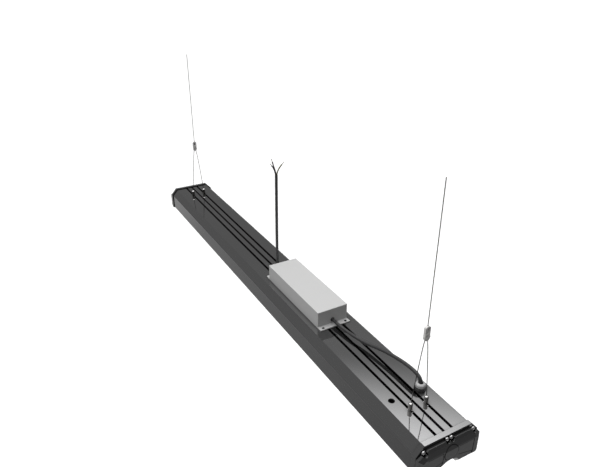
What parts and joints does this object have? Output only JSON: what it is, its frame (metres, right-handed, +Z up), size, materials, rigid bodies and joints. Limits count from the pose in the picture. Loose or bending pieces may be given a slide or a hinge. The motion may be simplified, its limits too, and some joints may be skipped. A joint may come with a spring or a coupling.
{
  "type": "linear high bay light",
  "caption": "Linear LED high bay light: dark grey extruded body with end caps, a driver on top, mains lead, cable gland and wire suspension.",
  "frame": {"origin": "under the middle of the body, level with the bottom of the end caps, which the light rests on", "axes": "+X along the body towards the end with the cable gland, +Y across it towards the gland's side, +Z up"},
  "size_m": [1.225, 0.13, 0.482],
  "materials": {
    "housing_finish": "dark grey anodised, semi-gloss",
    "cap_finish": "die cast, dark grey semi-gloss coat",
    "seal_rubber": "matt",
    "screw_steel": "bright zinc",
    "screw_black": "blackened",
    "board_white": "solder mask",
    "chip_phosphor": "phosphor filled",
    "lens_clear": "clear polycarbonate, lightly frosted",
    "driver_shell": "satin silver-grey coat",
    "driver_base_metal": "satin silver-grey coat",
    "circuit_green": "solder mask",
    "ferrite": "wound core, taped",
    "capacitor_sleeve": "shrink sleeve",
    "spacer_nylon": "plain",
    "cord_jacket": "smooth jacket",
    "core_brown": "core insulation",
    "core_blue": "core insulation",
    "core_green": "core insulation, green with a yellow stripe",
    "tinned_copper": "tinned strands",
    "gland_nylon": "moulded",
    "gland_light": "light grey moulded",
    "bright_chrome": "polished nickel",
    "wire_steel": "laid strands",
    "stop_metal": "pressed"
  },
  "bodies": {
    "root": {"housing": "housing_finish", "end_cap_left": "cap_finish", "end_cap_right": "cap_finish", "end_gasket_left": "seal_rubber", "end_gasket_right": "seal_rubber", "cap_screws_left": "screw_steel", "cap_screws_right": "screw_steel", "led_board_front": "board_white", "led_board_rear": "board_white", "led_chips_front": "chip_phosphor", "led_chips_rear": "chip_phosphor", "board_screws": "screw_steel", "lens_cover_front": "lens_clear", "lens_cover_rear": "lens_clear", "driver_base": "driver_base_metal", "driver_cover": "driver_shell", "driver_board": "circuit_green", "driver_spacers": "spacer_nylon", "driver_transformer": "ferrite", "driver_choke": "ferrite", "driver_capacitors": "capacitor_sleeve", "driver_screws": "screw_black", "lead_bushing": "seal_rubber", "output_bushing": "seal_rubber", "mains_lead": "cord_jacket", "core_live": "core_brown", "core_neutral": "core_blue", "core_earth": "core_green", "core_tips": "tinned_copper", "output_cable": "cord_jacket", "gland_washer": "seal_rubber", "gland_body": "gland_nylon", "gland_seal": "seal_rubber", "gland_cap": "gland_light", "gland_locknut": "gland_nylon", "clamp_left_front": "bright_chrome", "clamp_left_rear": "bright_chrome", "clamp_right_front": "bright_chrome", "clamp_right_rear": "bright_chrome", "slot_nuts": "screw_steel", "bridle_wire_left": "wire_steel", "bridle_wire_right": "wire_steel", "wire_link_left": "bright_chrome", "wire_link_right": "bright_chrome", "link_screws": "screw_steel", "wire_stop_left": "stop_metal", "wire_stop_right": "stop_metal", "hanger_wire_left": "wire_steel", "hanger_wire_right": "wire_steel"}
  },
  "joints": []
}
